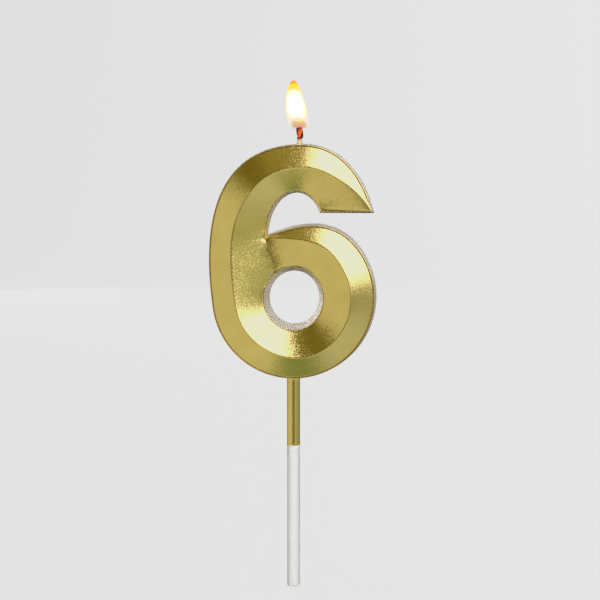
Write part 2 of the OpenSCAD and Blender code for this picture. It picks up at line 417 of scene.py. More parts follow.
# ---------------------------------------------------------------- materials
def tilted(nodes, links, flakes, amount):
    """The surface's own normal, tilted this way and that by each flake."""
    level = add(nodes, "ShaderNodeVectorMath", operation="SUBTRACT")
    links.new(flakes, level.inputs[0])
    level.inputs[1].default_value = (0.5, 0.5, 0.5)
    lean = add(nodes, "ShaderNodeVectorMath", operation="SCALE")
    links.new(level.outputs["Vector"], lean.inputs[0])
    lean.inputs["Scale"].default_value = amount
    total = add(nodes, "ShaderNodeVectorMath", operation="ADD")
    links.new(add(nodes, "ShaderNodeNewGeometry").outputs["Normal"], total.inputs[0])
    links.new(lean.outputs["Vector"], total.inputs[1])
    even = add(nodes, "ShaderNodeVectorMath", operation="NORMALIZE")
    links.new(total.outputs["Vector"], even.inputs[0])
    return even.outputs["Vector"]


def gold_paint():
    """Bright gold with a fine grain: every flake leans a little its own way."""
    m, nodes, links, shader, coords = principled("gold_paint")
    flakes = noise(nodes, links, coords, 3100, 1.0, 0.5)
    clouds = noise(nodes, links, coords, 160, 3.0, 0.5).outputs["Fac"]
    tinted(nodes, links, shader, clouds, [(0.3, (0.80, 0.64, 0.26)), (0.7, (0.86, 0.71, 0.31))])
    grain = ramp(nodes, [(0.35, grey(0.13)), (0.65, grey(0.27))])
    links.new(flakes.outputs["Fac"], grain.inputs["Fac"])
    links.new(grain.outputs["Color"], shader.inputs["Roughness"])
    links.new(tilted(nodes, links, flakes.outputs["Color"], 0.27), shader.inputs["Normal"])
    shader.inputs["Metallic"].default_value = 1.0
    return m


def pooled_gold():
    """The same gold where it pooled and dried duller, in the notch."""
    m, nodes, links, shader, coords = principled("pooled_gold")
    clouds = noise(nodes, links, coords, 900, 3.0, 0.6).outputs["Fac"]
    tinted(nodes, links, shader, clouds, [(0.3, (0.70, 0.52, 0.10)), (0.7, (0.95, 0.78, 0.26))])
    bumped(nodes, links, shader, clouds, 0.5, 0.06 * MM)
    shader.inputs["Metallic"].default_value = 0.3
    shader.inputs["Roughness"].default_value = 0.38
    return m


def white_wax():
    """White wax, faintly cloudy and a little translucent."""
    m, nodes, links, shader, coords = principled("white_wax")
    clouds = noise(nodes, links, coords, 120, 4.0, 0.55).outputs["Fac"]
    tinted(nodes, links, shader, clouds, [(0.3, (0.77, 0.69, 0.585)), (0.7, (0.83, 0.76, 0.665))])
    fine = noise(nodes, links, coords, 900, 3.0, 0.6).outputs["Fac"]
    bumped(nodes, links, shader, fine, 0.25, 0.05 * MM)
    shader.inputs["Roughness"].default_value = 0.42
    subsurface(shader, 0.12, (2.5 * MM, 1.8 * MM, 1.2 * MM))
    return m


def white_plastic():
    m, nodes, links, shader, coords = principled("white_plastic")
    clouds = noise(nodes, links, coords, 300, 3.0, 0.5).outputs["Fac"]
    tinted(nodes, links, shader, clouds, [(0.3, (0.74, 0.74, 0.735)), (0.7, (0.77, 0.77, 0.765))])
    shader.inputs["Roughness"].default_value = 0.35
    return m


# ---------------------------------------------------------------- the relief between crest and inner edge
ACROSS = [0.06, 0.12, 0.2, 0.28, 0.36, 0.44, 0.52, 0.6, 0.68, 0.76, 0.84, 0.92, 0.97]
COLS = len(ACROSS) + 2
VALLEY_SOFT, VALLEY_FREE = 3.2, 6.0     # how wide the valley blends, and how far its edges may sink
LEAST_SLOPE, MOST_SLOPE = 0.26, 0.6
SETTLE_STEPS = 500
CREST_EVENING = np.hanning(25)          # the crest is evened out over this many stations
FALL_EVENING = np.hanning(17)           # and the fall away from it over this many


def evened(values):
    """Values along the crest, smoothed; the two ends keep their places."""
    flat = np.asarray(values, float).reshape(ROWS, -1)
    half = len(CREST_EVENING) // 2
    ends = [2 * flat[:1] - flat[half:0:-1], flat, 2 * flat[-1:] - flat[-2:-half - 2:-1]]
    run = np.concatenate(ends)
    even = CREST_EVENING / CREST_EVENING.sum()
    out = [np.convolve(run[:, n], even, "valid") for n in range(flat.shape[1])]
    return np.array(out).T.reshape(np.shape(values))


CREST_W = evened([crest_width(i) for i in STATIONS])
CREST_LINE = evened([edge(i) + w * left_of(edge_dir(i)) for i, w in zip(STATIONS, CREST_W)])
CREST_H = CREST_SLOPE * CREST_W
PLAN = np.array([[lerp(c, inner(i), t) for t in [0.0] + ACROSS + [1.0]]
                 for i, c in zip(STATIONS, CREST_LINE)])
VALLEY = np.array([lerp(NOTCH, hole(CREASE_FOOT_ANGLE), t) for t in np.linspace(0, 1, 40)])
WALLED = np.array([has_wall(i) for i in STATIONS])


def nearest(points, line):
    """Distance from each point to a line of points, and the number of the nearest."""
    d = np.hypot(points[:, None, 0] - line[None, :, 0], points[:, None, 1] - line[None, :, 1])
    return d.min(axis=1), d.argmin(axis=1)


def slopes_at_crest():
    """How steeply each station's slope falls from the crest to its inner edge."""
    edges = PLAN[WALLED, -1]
    reach = nearest(CREST_LINE, edges)[0]
    steep = CREST_H / np.maximum(reach, 0.5)
    for first, last in ((NOTCH_AT, FOOT_AT), (FOOT_AGAIN, LAST)):
        q = np.arange(first * FINER, last * FINER + 1)
        steep[q] = np.linspace(steep[q[0]], steep[q[-1]], len(q))
    return np.clip(steep, LEAST_SLOPE, MOST_SLOPE)


def descent(points, first, last, steep):
    """The fall wanted at each point: away from the nearest part of one arm of the crest."""
    d, at = nearest(points, CREST_LINE[first:last])
    away = points - CREST_LINE[first:last][at]
    return -away * (steep[first:last][at] / np.maximum(d, 0.05))[:, None]


def wanted_fall():
    """The slope wanted at every grid point, blended across the valley and evened along the stations."""
    split = ARMS_PART_AT * FINER
    points = PLAN.reshape(-1, 2)
    steep = slopes_at_crest()
    stem = descent(points, 0, split + 1, steep)
    shoulder = descent(points, split, ROWS, steep)
    side = np.where(np.repeat(np.arange(ROWS), COLS) > split, 1.0, -1.0)
    share = 0.5 + 0.5 * side * np.tanh(nearest(points, VALLEY)[0] / VALLEY_SOFT)
    fall = (stem + (shoulder - stem) * share[:, None]).reshape(ROWS, COLS, 2)
    half = len(FALL_EVENING) // 2
    run = np.pad(fall, ((half, half), (0, 0), (0, 0)), "edge")
    return np.apply_along_axis(np.convolve, 0, run, FALL_EVENING / FALL_EVENING.sum(), "valid")


def seam_numbers():
    """A number for every grid point; points that meet on the valley line share one."""
    number = np.arange(ROWS * COLS).reshape(ROWS, COLS)
    for q in range(NOTCH_AT * FINER, FOOT_AT * FINER + 1):
        number[LAST * FINER - (q - NOTCH_AT * FINER), -1] = number[q, -1]
    return number


def settled_heights():
    """Heights whose falls come closest to the wanted ones, with the crest and the open edges held."""
    fall, number = wanted_fall(), seam_numbers()
    a = np.concatenate([number[:, :-1].ravel(), number[:-1].ravel()])
    b = np.concatenate([number[:, 1:].ravel(), number[1:].ravel()])
    step = np.concatenate([np.diff(PLAN, axis=1).reshape(-1, 2), np.diff(PLAN, axis=0).reshape(-1, 2)])
    mid_across, mid_along = (fall[:, 1:] + fall[:, :-1]) / 2, (fall[1:] + fall[:-1]) / 2
    mid = np.concatenate([mid_across.reshape(-1, 2), mid_along.reshape(-1, 2)])
    rise = (mid * step).sum(axis=1)
    along = np.hypot(*step.T)
    width = np.hypot(*np.moveaxis(np.gradient(PLAN, axis=1), 2, 0))
    length = np.hypot(*np.moveaxis(np.gradient(PLAN, axis=0), 2, 0))
    other = np.concatenate([length[:, 1:].ravel(), width[1:].ravel()])
    weight = other / np.maximum(along, 0.01)
    held = np.zeros((ROWS, COLS), bool)
    held[:, 0] = True
    near_valley = nearest(PLAN[:, -1], VALLEY)[0]
    held[:, -1] = WALLED & (near_valley > VALLEY_FREE)
    high = np.zeros(ROWS * COLS)
    high[number[:, 0]] = CREST_H
    free = np.ones(ROWS * COLS, bool)
    free[number[held]] = False
    free[np.setdiff1d(np.arange(ROWS * COLS), number)] = False

    def pull(h):
        push = weight * (h[b] - h[a])
        return (np.bincount(b, push, ROWS * COLS) - np.bincount(a, push, ROWS * COLS)) * free

    count = ROWS * COLS
    goal = (np.bincount(b, weight * rise, count) - np.bincount(a, weight * rise, count)) * free
    scale = np.maximum(np.bincount(a, weight, count) + np.bincount(b, weight, count), 1e-9)
    left = goal - pull(high)
    go = left / scale
    z = go
    for _ in range(SETTLE_STEPS):
        moved = pull(go)
        share = (left @ z) / max(go @ moved, 1e-18)
        high = high + share * go
        after = left - share * moved
        fresh = after / scale
        go = fresh + go * ((after @ fresh) / max(left @ z, 1e-18))
        left, z = after, fresh
    return high[number]


HIGH = settled_heights()


# ---------------------------------------------------------------- the gold face
BEAD, GROOVE, GROOVE_DEEP = 0.24 * MM, 0.5 * MM, 0.09 * MM
ROUND_EDGE = 0.14 * MM
ROUND_CREST = 0.42 * MM
SHARES = [0.0, 0.03, 0.25, 0.5, 0.75, 0.97, 1.0]
EDGE_COUNT, CREST_COUNT = 4, 6


def inner_slope(q, front):
    """Points from the crest to the inner edge at row q, on a face whose edge level is front."""
    return [place(K * PLAN[q, j], front - K * HIGH[q, j]) for j in range(COLS)]


def bead_and_groove(at_edge, inward):
    """The top of the narrow bead along an edge, and the fine groove behind it where the slope begins."""
    run = (inward - at_edge) * np.array([1, 0, 1])
    reach = np.linalg.norm(run)
    away = run / reach if reach > 1e-9 else run
    small = min(1.0, 0.4 * reach / GROOVE)
    deep = np.array([0, GROOVE_DEEP * small, 0])
    return at_edge + away * BEAD * small, at_edge + away * GROOVE * small + deep


def under_coat(q):
    """The line across row q, from outline to inner edge, where the coat lies on the wax."""
    i = STATIONS[q]
    down = inner_slope(q, EDGE_Y + COAT_T)
    o, c, n = place(K * edge(i), EDGE_Y + COAT_T), down[0], down[-1]
    sunk = np.array([0, COAT_T * 0.1, 0])
    o_in, n_in = bead_and_groove(o, c)[1] + sunk, bead_and_groove(n, down[-3])[1] + sunk
    return [o, o_in] + down[:-2] + ([n_in, n] if has_wall(i) else down[-2:])


def face_section(q):
    """One cross-section of the coat's outer surface, from the outer lip over the crest to the inner lip."""
    i = STATIONS[q]
    down = inner_slope(q, EDGE_Y)
    o = place(K * edge(i), EDGE_Y)
    c, n = down[0], down[-1]
    lip = np.array([0, COAT_T, 0])
    o_bead, o_in = bead_and_groove(o, c)
    n_bead, n_in = bead_and_groove(n, down[-3])
    a = rounded(o + lip, o, o_bead, ROUND_EDGE, EDGE_COUNT)
    b = rounded(o_in, c, down[1], ROUND_CREST, CREST_COUNT)
    d = rounded(n_bead, n, n + lip, ROUND_EDGE, EDGE_COUNT) if has_wall(i) else [n] * (EDGE_COUNT + 1)
    points = [o + lip] + a + [o_bead, o_in] + straight(o_in, b[0], SHARES)[1:-1] + b + down[1:-2]
    points += [n_in, n_bead] if has_wall(i) else [down[-2], lerp(down[-2], n, 0.5)]
    points += d
    return points + [n + lip if has_wall(i) else n]


def in_crease(r, cols, c, wall_cols):
    """Whether a face would lie past the crease line, where there is no wall."""
    crease = not (has_wall(STATIONS[r]) and has_wall(STATIONS[r + 1]))
    return crease and c >= cols - 1 - wall_cols


def gold_face():
    rows = [face_section(q) for q in range(ROWS)]
    cols = len(rows[0])
    points = [p for row in rows for p in row]
    faces = grid_faces(ROWS, cols, lambda r, c: in_crease(r, cols, c, EDGE_COUNT + 1))
    back = len(points)
    for q in range(ROWS):
        points += under_coat(q)
    faces += grid_faces(ROWS, len(under_coat(0)), flip=True, start=back)
    return mesh_piece("gold_face", points, faces)


POCKET_DEEP, POCKET_FILM, POCKET_FILLET = 5.5 * MM, 0.05 * MM, 0.22 * MM
POCKET_SINK = 0.03 * MM                 # how far the film's hidden side lies in the wax
POCKET_CORNER = 0.16                    # share of the film's run that its fillet takes up
SHOULDER_RUN, OPENING_RUN = 7, 11       # the outline's steps that the film covers on each wall


def pocket_section(i, outer_wall, far):
    """A loop round the gold film on one wall of the notch, at a share far of its run from the corner."""
    if outer_wall:
        front, back, out = K * edge(i), edge_back(i), -left_of(edge_dir(i))
    else:
        front, back, out = K * inner(i), inner_back(i), left_of(opening_dir(min(i, NOTCH_AT)))
    middle = NOTCH_MOVE / np.linalg.norm(NOTCH_MOVE)
    corner = math.exp(-(far / POCKET_CORNER) ** 2)
    out = lerp(out, middle, corner)
    thick = POCKET_FILM * (1 - ease(far) * 0.9) + POCKET_FILLET * corner
    depth = POCKET_DEEP * (1 - far ** 2 * 0.95)
    share = depth / (BACK_Y - EDGE_Y)
    film, skin_side = [], []
    for t in SHARES:
        wall = lerp(front, back, t * share)
        fade = 1 - 0.85 * t ** 4
        y = EDGE_Y + COAT_T * 0.3 + depth * t
        film.append(place(wall + out * thick * fade, y))
        skin_side.append(place(wall - out * POCKET_SINK, y))
    return film + skin_side[::-1]


def notch_gold():
    """Gold that ran into the notch and dried on its two walls."""
    shoulder = [pocket_section(LAST - SHOULDER_RUN * u, True, u) for u in np.linspace(1, 0, 22)]
    opening = [pocket_section(NOTCH_AT - OPENING_RUN * u, False, u) for u in np.linspace(0, 1, 26)[1:]]
    points, faces = swept(shoulder + opening, 2 * len(SHARES))
    return mesh_piece("notch_gold", points, faces)


# ---------------------------------------------------------------- the wax body
ROUND_BACK = 0.5 * MM
WALL_SHARES = [0.0, 0.02, 0.3, 0.6, 0.98, 1.0]
BACK_SHARES = [0.0, 0.03, 0.35, 0.65, 0.97, 1.0]


def body_section(q):
    """The wall, back and inner wall at row q, then the front from the inner edge back to the outline."""
    i = STATIONS[q]
    front = under_coat(q)
    o, n = front[0], front[-1]
    ob, nb = place(edge_back(i), BACK_Y), place(inner_back(i), BACK_Y)
    a = rounded(o, ob, nb, ROUND_BACK, EDGE_COUNT)
    d = rounded(ob, nb, n, ROUND_BACK, EDGE_COUNT) if has_wall(i) else [nb] * (EDGE_COUNT + 1)
    points = straight(o, a[0], WALL_SHARES)[:-1] + a + straight(a[-1], d[0], BACK_SHARES)[1:-1] + d
    points += straight(d[-1], n, WALL_SHARES)[1:] if has_wall(i) else [nb] * (len(WALL_SHARES) - 1)
    return points, front[::-1]


def wax_numeral():
    rows = [body_section(q) for q in range(ROWS)]
    cols, front_cols = len(rows[0][0]), len(rows[0][1])
    wall_cols = EDGE_COUNT + len(WALL_SHARES) - 1
    points = [p for row in rows for p in row[0]]
    faces = grid_faces(ROWS, cols, lambda r, c: in_crease(r, cols, c, wall_cols), flip=True)
    front = len(points)
    points += [p for row in rows for p in row[1]]
    faces += grid_faces(ROWS, front_cols, flip=True, start=front)
    return mesh_piece("wax_numeral", points, faces)


# ---------------------------------------------------------------- round pieces on the stick's axis
CHAMFER = 0.4 * MM
DRIP_OVER = 1.2 * MM                    # how far above the coat's lower edge the edge's wander dies out


def lathe(profile, sides=64, wobble=None):
    """Points and faces turned from a profile of (radius, z), bottom first; wobble lifts each point."""
    points = []
    for r, z in profile:
        for s in range(sides):
            a = 2 * math.pi * s / sides
            dz = wobble(a, z) if wobble else 0.0
            points.append((r * math.cos(a), r * math.sin(a), z + dz))
    faces = []
    for q in range(len(profile) - 1):
        for s in range(sides):
            p = (s + 1) % sides
            faces.append((q * sides + s, q * sides + p, (q + 1) * sides + p, (q + 1) * sides + s))
    return points, faces


def stick_piece():
    """The white stick: a softened lower end, and a thinner core under the gold and in the wax."""
    white_top = stick_coat_low.z
    core = STICK_R - COAT_T
    profile = [(0.0, 0.0), (STICK_R - CHAMFER, 0.0), (STICK_R - 0.55 * CHAMFER, 0.12 * CHAMFER),
               (STICK_R - 0.12 * CHAMFER, 0.55 * CHAMFER), (STICK_R, CHAMFER)]
    profile += [(STICK_R, lerp(CHAMFER, white_top, t)) for t in (0.02, 0.25, 0.5, 0.75, 0.98, 1.0)]
    profile += [(core, white_top), (core, stick_high.z), (0.0, stick_high.z)]
    points, faces = lathe(profile)
    return mesh_piece("stick_white", points, faces)


def stick_coat_piece():
    """The gold on the stick: an uneven, slightly raised lower edge, and a fillet where it meets the wax."""
    low, top = stick_coat_low.z, BASE_Z + 0.2 * MM
    core = STICK_R - COAT_T * 0.95

    def drip(a, z):
        """The painted edge wanders a little round the stick."""
        if z > low + DRIP_OVER:
            return 0.0
        fall = 1 - max(0.0, z - low) / DRIP_OVER
        return fall * (0.22 * math.sin(a + 0.6) + 0.12 * math.sin(3 * a + 1) + 0.05 * math.sin(7 * a)) * MM

    bead = 0.035 * MM
    profile = [(core, low), (STICK_R + 0.3 * bead, low), (STICK_R + bead, low + 0.1 * MM),
               (STICK_R + bead, low + 0.3 * MM), (STICK_R + 0.4 * bead, low + 0.7 * MM),
               (STICK_R, low + DRIP_OVER)]
    profile += [(STICK_R, lerp(low + DRIP_OVER, top - 0.9 * MM, t)) for t in (0.05, 0.5, 0.95, 1.0)]
    profile += [(STICK_R + 0.03 * MM, top - 0.6 * MM), (STICK_R + 0.12 * MM, top - 0.3 * MM),
                (STICK_R + 0.2 * MM, top), (core, top), (core, low)]
    points, faces = lathe(profile, wobble=drip)
    return mesh_piece("stick_gold", points, faces)


# ---------------------------------------------------------------- the wick
WICK_TOP_Z = yarn_high.z
WICK_TIP = np.array([1.9, (WICK_TOP_Z - BASE_Z) / K])
WICK_IN = np.array([1.9, 67.5])
WICK_RUNS = [
    handles(WICK_TIP, [0, -2], [0, 2], WICK_IN),
    handles(WICK_IN, [0, -4], [4.5, 1.6], [-5.5, 61]),
    handles([-5.5, 61], [-6.5, -2.3], [0, 8], [-16.8, 44]),
    handles([-16.8, 44], [0, -9], [-3, 7.5], [-14.5, 17]),
    handles([-14.5, 17], [1.6, -4], [-3, 2], [-7, 8.5]),
]
RUN_STEPS = [48, 30, 50, 60, 26]
STRAND_PITCH = 6 * MM
STRAND_OFF, STRAND_R = 0.4 * MM, 0.345 * MM
STRAND_START = 320                      # degrees round the wick at which the first strand's tip lies
CHAR_FROM = WICK_TOP_Z - 3.3 * MM       # the wick has burned black above this level
SCORCH = 1.5 * MM                       # how far below that level the cotton's tint starts to change


def wick_route():
    """Points of the wick's middle from the tip down, their sideways directions and the lengths so far."""
    spots = [(r, j / n) for r, n in enumerate(RUN_STEPS) for j in range(n)] + [(len(WICK_RUNS) - 1, 1.0)]
    middle = [K * curve(WICK_RUNS[r], t) for r, t in spots]
    aside = [left_of(slope(WICK_RUNS[r], t)) for r, t in spots]
    run = np.concatenate([[0], np.cumsum(np.hypot(*np.diff(middle, axis=0).T))])
    return middle, aside, run


def ring_at(p, n, off, towards, r, sides):
    """A ring across the wick at p, its middle moved off to one side; n is the sideways direction."""
    a = [off * math.cos(towards) + r * math.cos(2 * math.pi * q / sides) for q in range(sides)]
    b = [off * math.sin(towards) + r * math.sin(2 * math.pi * q / sides) for q in range(sides)]
    return [place(p + x * n, y) for x, y in zip(a, b)]


def strand(name, number):
    """One of the three twisted yarns: swollen and crusted where it has burned, rounded at its tip."""
    sides, rings = 12, []
    middle, aside, run = wick_route()
    towards, before = math.radians(STRAND_START - 120 * number), 0.0
    for p, n, s in zip(middle, aside, run):
        burned = ease(min(1.0, max(0.0, (BASE_Z + p[1] - CHAR_FROM + 0.6 * MM) / (1.2 * MM))))
        tip = math.sqrt(max(0.02, 1 - max(0.0, 1 - s / (0.45 * MM)) ** 2))
        crust = 1 + 0.09 * burned * math.sin(s / MM * 9 + number * 2)
        off = STRAND_OFF * (1 + 0.38 * burned) * (0.75 + 0.25 * tip)
        r = STRAND_R * (1 + 0.45 * burned) * crust * tip
        towards -= 2 * math.pi * (s - before) / STRAND_PITCH * (1 - 0.5 * burned)
        before = s
        rings.append(ring_at(p, n, off, towards, r, sides))
    points, faces = swept(rings, sides)
    return mesh_piece(name, points, faces)


def wick_wax():
    """The wax that stiffens the wick, drawn up into a small foot where it leaves the number."""
    sides, rings = 24, []
    middle, aside, run = wick_route()
    top_z = wick_coat_high.z
    surface_z = BASE_Z + NUMBER_H
    keep = [(p, n) for p, n in zip(middle, aside) if BASE_Z + p[1] <= top_z + 0.01 * MM]
    for p, n in keep:
        over = (BASE_Z + p[1] - surface_z) / MM
        foot = 0.35 * MM * math.exp(-max(0.0, over) / 0.35) if over > -0.6 else 0.0
        rings.append(ring_at(p, n, 0, 0, WICK_R + foot, sides))
    first, n = keep[0]
    crown = [ring_at(first + np.array([0, h * MM]), n, 0, 0, r * MM, sides) for r, h in
             ((0.0, -0.25), (0.5, -0.2), (0.74, 0.0), (0.8, 0.03))]
    points, faces = swept(crown + rings, sides)
    return mesh_piece("wick_wax", points, faces)


def height_share(nodes, links, low, high):
    """How far up between two heights a point lies, from 0 to 1."""
    axes = add(nodes, "ShaderNodeSeparateXYZ")
    links.new(add(nodes, "ShaderNodeTexCoord").outputs["Object"], axes.inputs["Vector"])
    share = add(nodes, "ShaderNodeMapRange")
    share.inputs["From Min"].default_value = low
    share.inputs["From Max"].default_value = high
    links.new(axes.outputs["Z"], share.inputs["Value"])
    return share.outputs["Result"]


def yarn(name, burned, glow):
    """Cotton below, charred above; glow is the emission of an ember in the charred part."""
    m, nodes, links, shader, coords = principled(name)
    low, high = CHAR_FROM - SCORCH, WICK_TOP_Z
    share = height_share(nodes, links, low, high)
    edge_at = SCORCH / (high - low)
    cotton, scorched = (0.62, 0.50, 0.27), (0.16, 0.06, 0.02)
    tinted(nodes, links, shader, share, [(0.0, cotton), (edge_at - 0.14, cotton), (edge_at - 0.03, scorched),
                                         (edge_at + 0.06, burned), (1.0, burned)])
    bumped(nodes, links, shader, noise(nodes, links, coords, 5000, 3.0, 0.6).outputs["Fac"], 0.5, 0.04 * MM)
    if glow:
        ember = ramp(nodes, [(0.0, grey(0)), (edge_at + 0.02, grey(0)), (edge_at + 0.1, glow),
                             (0.8, glow), (0.9, (0.05, 0.0, 0.0))])
        links.new(share, ember.inputs["Fac"])
        cracks = noise(nodes, links, coords, 2600, 2.0, 0.6)
        crust = ramp(nodes, [(0.38, (0.08, 0.03, 0.02)), (0.54, grey(1))])
        links.new(cracks.outputs["Fac"], crust.inputs["Fac"])
        lit = add(nodes, "ShaderNodeMix", data_type="RGBA", blend_type="MULTIPLY")
        lit.inputs["Factor"].default_value = 1
        links.new(ember.outputs["Color"], lit.inputs["A"])
        links.new(crust.outputs["Color"], lit.inputs["B"])
        links.new(lit.outputs["Result"], shader.inputs["Emission Color"])
        shader.inputs["Emission Strength"].default_value = 1.0
    shader.inputs["Roughness"].default_value = 0.8
    return m


def cream_wax():
    m, nodes, links, shader, coords = principled("priming_wax")
    clouds = noise(nodes, links, coords, 1500, 3.0, 0.6).outputs["Fac"]
    tinted(nodes, links, shader, clouds, [(0.35, (0.50, 0.38, 0.17)), (0.65, (0.78, 0.68, 0.45))])
    shader.inputs["Roughness"].default_value = 0.4
    subsurface(shader, 0.3, (1.2 * MM, 0.9 * MM, 0.5 * MM))
    return m


# ---------------------------------------------------------------- the flame
FLAME_FOOT_Z = WICK_TOP_Z - 2.4 * MM
FLAME_H = 16.45 * MM
# Share of the flame's height, and its half width and sideways place there in millimetres.
FLAME_FORM = [
    (0.0, 1.6, 1.85), (0.05, 2.35, 1.85), (0.12, 2.95, 1.8), (0.22, 3.15, 1.55), (0.33, 3.2, 1.25),
    (0.45, 3.15, 0.9), (0.57, 2.95, 0.6), (0.68, 2.6, 0.35), (0.78, 2.2, 0.2), (0.86, 1.72, 0.12),
    (0.92, 1.25, 0.07), (0.965, 0.75, 0.03), (0.99, 0.35, 0.0), (1.0, 0.03, 0.0),
]
HEAT_SHELLS = 5


def flame_shell(name, low, high, slimmer):
    """A closed shell of the flame between two shares of its height, slimmer by a share."""
    sides, rings, count = 40, [], 56
    shares, widths, places = zip(*FLAME_FORM)
    for q in range(count + 1):
        t = lerp(low, high, q / count)
        closing = 1.0 if slimmer == 1 else max(0.02, 1 - abs(2 * q / count - 1) ** 2.5) ** 0.5
        r = np.interp(t, shares, widths) * MM * slimmer * closing
        x = np.interp(t, shares, places) * K
        z = FLAME_FOOT_Z + FLAME_H * t
        rings.append([(x + r * math.cos(a), r * math.sin(a), z)
                      for a in np.linspace(0, 2 * math.pi, sides, endpoint=False)])
    points, faces = swept(rings, sides)
    return mesh_piece(name, points, faces)


def fire(name, colours, cover):
    """Light of one colour or of stops up the flame; cover is the share of what lies behind that it hides."""
    m, nodes, links = new_material(name)
    out = add(nodes, "ShaderNodeOutputMaterial")
    glow = add(nodes, "ShaderNodeEmission")
    clear = add(nodes, "ShaderNodeBsdfTransparent")
    both = add(nodes, "ShaderNodeMixShader")
    share = height_share(nodes, links, FLAME_FOOT_Z, FLAME_FOOT_Z + FLAME_H)
    if isinstance(colours, list):
        tint = ramp(nodes, colours)
        links.new(share, tint.inputs["Fac"])
        links.new(tint.outputs["Color"], glow.inputs["Color"])
    else:
        glow.inputs["Color"].default_value = (*colours, 1)
    dense = ramp(nodes, [(at, grey(v)) for at, v in cover])
    links.new(share, dense.inputs["Fac"])
    links.new(dense.outputs["Color"], both.inputs["Fac"])
    links.new(clear.outputs["BSDF"], both.inputs[1])
    links.new(glow.outputs["Emission"], both.inputs[2])
    links.new(both.outputs["Shader"], out.inputs["Surface"])
    return m


PALE, YELLOW, AMBER = (11.0, 7.0, 0.2), (9.0, 2.6, 0.06), (6.0, 0.5, 0.01)


def flame_skin():
    blush = (30.0, 7.0, 1.0)
    colours = [(0.0, blush), (0.26, blush), (0.36, PALE), (0.74, PALE), (0.83, YELLOW), (0.93, AMBER),
               (1.0, AMBER)]
    cover = [(0.14, 0.0), (0.22, 0.04), (0.28, 0.06), (0.38, 0.24), (0.72, 0.28), (0.83, 0.5), (0.91, 0.8),
             (1.0, 0.85)]
    return fire("flame_skin", colours, cover)


def flame_under_skin():
    colours = [(0.0, PALE), (0.76, PALE), (0.84, YELLOW), (0.95, YELLOW), (1.0, AMBER)]
    return fire("flame_under_skin", colours, [(0.24, 0.0), (0.4, 0.16), (0.76, 0.22), (0.9, 0.3)])


def flame_heat():
    hot, gold = (8.0, 8.0, 11.0), (12.0, 7.0, 1.0)
    colours = [(0.24, (20.0, 6.0, 2.5)), (0.32, (14.0, 7.5, 5.0)), (0.42, hot), (0.7, hot), (0.86, gold)]
    cover = [(0.22, 0.0), (0.3, 0.02), (0.36, 0.055), (0.46, 0.16), (0.68, 0.16), (0.86, 0.0)]
    return fire("flame_heat", colours, cover)


def flame_veil():
    return fire("flame_veil", (1.0, 0.36, 0.24), [(0.11, 0.0), (0.16, 0.35), (0.22, 0.35), (0.4, 0.03)])


def flame():
    """Nested shells: a skin from peach to orange, thin shells of white heat, a peach veil round the wick."""
    veil, heat = flame_veil(), flame_heat()
    shells = [("flame_skin", 0.0, 1.0, 1.0, flame_skin()),
              ("flame_under_skin", 0.08, 0.96, 0.88, flame_under_skin()),
              ("flame_veil_outer", 0.08, 0.29, 0.78, veil), ("flame_veil_middle", 0.09, 0.33, 0.64, veil),
              ("flame_veil_inner", 0.1, 0.37, 0.48, veil)]
    shells += [(f"flame_heat_{n + 1}", 0.2, 0.94 - 0.015 * n, 0.86 - 0.09 * n, heat)
               for n in range(HEAT_SHELLS)]
    # A ray may pass both walls of every shell, and again after a bounce.
    bpy.context.scene.cycles.transparent_max_bounces = 4 * len(shells)
    for name, low, high, slimmer, material in shells:
        piece = flame_shell(name, low, high, slimmer)
        finish_piece(piece, material, None)
        piece.visible_diffuse = False
        piece.visible_glossy = False
        piece.visible_shadow = False


# ---------------------------------------------------------------- stage, world, camera
STAGE_R, STAGE_BEND, STAGE_H = 3.2, 0.9, 5.0
PAINTED_SHADE_REACH = 0.8                        # the painted shade on the paper changes this far to each side
PAPER_WHITE, FLAME_WHITE = 0.80, 5.0    # what full white prints as, and the light that prints as white
HALF_VIEW = 90 * MM                     # half the width that the camera takes in at the number


def pale_paper():
    """Paper that glows by itself, with painted shade that makes its glow a little darker towards the left.
    """
    m, nodes, links, shader, coords = principled("pale_stage")
    axes = add(nodes, "ShaderNodeSeparateXYZ")
    links.new(coords, axes.inputs["Vector"])
    across = add(nodes, "ShaderNodeMapRange")
    across.inputs["From Min"].default_value = -PAINTED_SHADE_REACH
    across.inputs["From Max"].default_value = PAINTED_SHADE_REACH
    links.new(axes.outputs["X"], across.inputs["Value"])
    # painted shade: the paper's glow is a little darker towards the left
    painted_shade_ramp = ramp(nodes, [(0.0, grey(0.925)), (1.0, grey(1.0))])
    links.new(across.outputs["Result"], painted_shade_ramp.inputs["Fac"])
    links.new(painted_shade_ramp.outputs["Color"], shader.inputs["Emission Color"])
    shader.inputs["Base Color"].default_value = (0.01, 0.01, 0.01, 1)
    shader.inputs["Roughness"].default_value = 1.0
    shader.inputs["Specular IOR Level"].default_value = 0.0
    shader.inputs["Emission Strength"].default_value = 1.0
    return m


def stage():
    """A plain pale floor that rises all round into a plain pale wall."""
    profile = [(r, 0.0) for r in (0.0, 0.3, 0.8, 1.5, STAGE_R - STAGE_BEND)]
    profile += [(STAGE_R - STAGE_BEND + STAGE_BEND * math.sin(a), STAGE_BEND - STAGE_BEND * math.cos(a))
                for a in np.linspace(0, math.pi / 2, 20)[1:]]
    profile += [(STAGE_R, STAGE_H * 0.5), (STAGE_R, STAGE_H)]
    points, faces = lathe(profile, sides=96)
    floor = mesh_piece("floor_and_wall", points, faces)
    floor.data.materials.append(pale_paper())
    floor.visible_glossy = False
    floor.visible_diffuse = False


